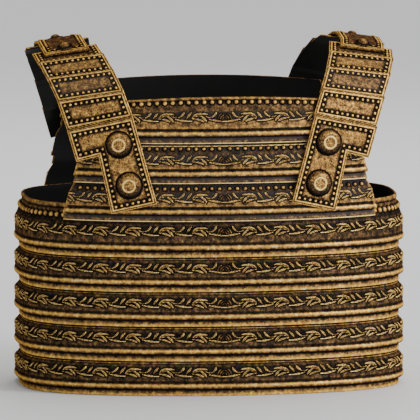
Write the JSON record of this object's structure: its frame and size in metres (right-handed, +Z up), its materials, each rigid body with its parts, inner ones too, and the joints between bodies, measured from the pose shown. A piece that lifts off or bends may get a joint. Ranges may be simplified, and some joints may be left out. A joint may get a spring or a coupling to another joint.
{
  "type": "laminar cuirass",
  "caption": "Sleeveless body armour of embossed brass hoops with lapped chest and back plates, hung from two jointed shoulder straps with riveted bosses.",
  "frame": {"origin": "centre of the lower edge, on the surface the cuirass stands on", "axes": "+Z up, -Y towards the front, +X towards the wearer's left"},
  "size_m": [0.432, 0.2938, 0.3901],
  "materials": {
    "embossed_brass": "antiqued cast relief, dark in the recesses and bright on the ridges",
    "strap_brass": "antiqued, punched with dots inside a bright double border",
    "boss_brass": "antiqued, worn bright on the crown"
  },
  "bodies": {
    "root": {"girth_hoop_1": "embossed_brass", "girth_hoop_2": "embossed_brass", "girth_hoop_3": "embossed_brass", "girth_hoop_4": "embossed_brass", "girth_hoop_5": "embossed_brass", "chest_plate_3": "embossed_brass", "chest_plate_2": "embossed_brass", "chest_plate_1": "embossed_brass", "back_plate_3": "embossed_brass", "back_plate_2": "embossed_brass", "back_plate_1": "embossed_brass", "left_front_end_plate": "strap_brass", "left_front_strap_plate_1": "strap_brass", "left_front_strap_plate_2": "strap_brass", "left_front_strap_plate_3": "strap_brass", "left_front_strap_plate_4": "strap_brass", "left_front_upper_boss": "boss_brass", "left_front_lower_boss": "boss_brass", "left_front_stud": "boss_brass", "left_back_end_plate": "strap_brass", "left_back_strap_plate_1": "strap_brass", "left_back_strap_plate_2": "strap_brass", "left_back_strap_plate_3": "strap_brass", "left_back_strap_plate_4": "strap_brass", "left_back_upper_boss": "boss_brass", "left_back_lower_boss": "boss_brass", "left_back_stud": "boss_brass", "left_top_plate": "strap_brass", "right_front_end_plate": "strap_brass", "right_front_strap_plate_1": "strap_brass", "right_front_strap_plate_2": "strap_brass", "right_front_strap_plate_3": "strap_brass", "right_front_strap_plate_4": "strap_brass", "right_front_upper_boss": "boss_brass", "right_front_lower_boss": "boss_brass", "right_front_stud": "boss_brass", "right_back_end_plate": "strap_brass", "right_back_strap_plate_1": "strap_brass", "right_back_strap_plate_2": "strap_brass", "right_back_strap_plate_3": "strap_brass", "right_back_strap_plate_4": "strap_brass", "right_back_upper_boss": "boss_brass", "right_back_lower_boss": "boss_brass", "right_back_stud": "boss_brass", "right_top_plate": "strap_brass"}
  },
  "joints": []
}
